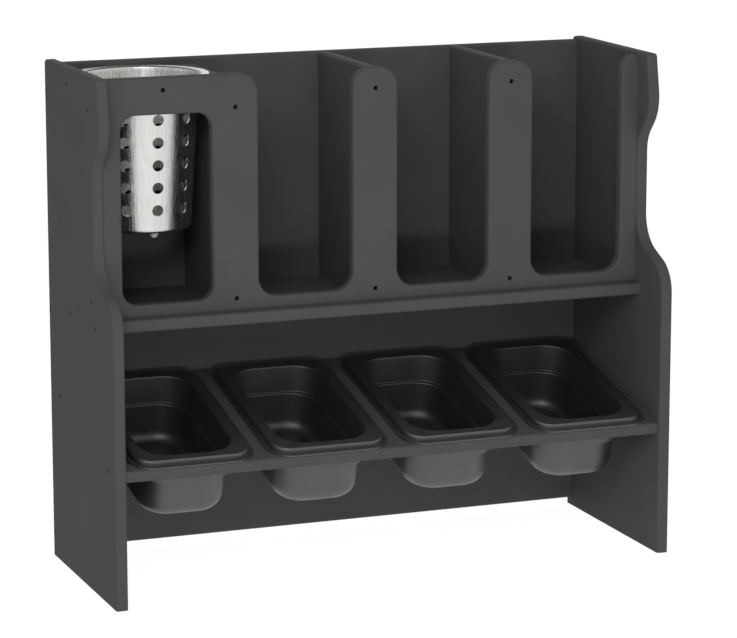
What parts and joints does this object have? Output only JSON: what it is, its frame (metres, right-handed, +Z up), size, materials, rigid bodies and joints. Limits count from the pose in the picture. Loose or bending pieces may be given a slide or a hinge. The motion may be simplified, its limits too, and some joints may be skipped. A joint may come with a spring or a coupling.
{
  "type": "condiment station cabinet",
  "caption": "Counter-top condiment cabinet of dark plastic boards: upright cells behind a slotted front, a hung perforated steel cylinder and drop-in food pans on a sloping shelf.",
  "frame": {"origin": "on the counter, at the middle of the footprint", "axes": "+X to the right seen from the front, +Y to the rear, +Z up"},
  "size_m": [0.5, 0.1886, 0.4319],
  "materials": {
    "board": "matte dark grey sheet with routed edges",
    "pan": "black, satin moulded",
    "stainless": "brushed upright",
    "screw": "black oxide"
  },
  "bodies": {
    "cabinet": {"left_side_panel": "board", "right_side_panel": "board", "back_panel": "board", "upper_shelf": "board", "lower_shelf": "board", "front_fascia": "board", "divider_1": "board", "divider_2": "board", "divider_3": "board", "cylinder_shelf": "board", "left_side_screws": "screw", "right_side_screws": "screw", "fascia_screws": "screw", "rear_screws": "screw", "divider_screw": "screw"},
    "cylinder": {"flatware_cylinder": "stainless"},
    "pan_1": {"condiment_pan_1": "pan"},
    "pan_2": {"condiment_pan_2": "pan"},
    "pan_3": {"condiment_pan_3": "pan"},
    "pan_4": {"condiment_pan_4": "pan"}
  },
  "joints": [
    {"name": "cylinder_lift", "type": "slide", "parent": "cabinet", "child": "cylinder", "axis": [0, 0, 1], "range_m": [0, 0.14]},
    {"name": "pan_1_lift", "type": "slide", "parent": "cabinet", "child": "pan_1", "axis": [0, -0.2284, 0.9736], "range_m": [0, 0.06]},
    {"name": "pan_2_lift", "type": "slide", "parent": "cabinet", "child": "pan_2", "axis": [0, -0.2284, 0.9736], "range_m": [0, 0.06]},
    {"name": "pan_3_lift", "type": "slide", "parent": "cabinet", "child": "pan_3", "axis": [0, -0.2284, 0.9736], "range_m": [0, 0.06]},
    {"name": "pan_4_lift", "type": "slide", "parent": "cabinet", "child": "pan_4", "axis": [0, -0.2284, 0.9736], "range_m": [0, 0.06]}
  ]
}
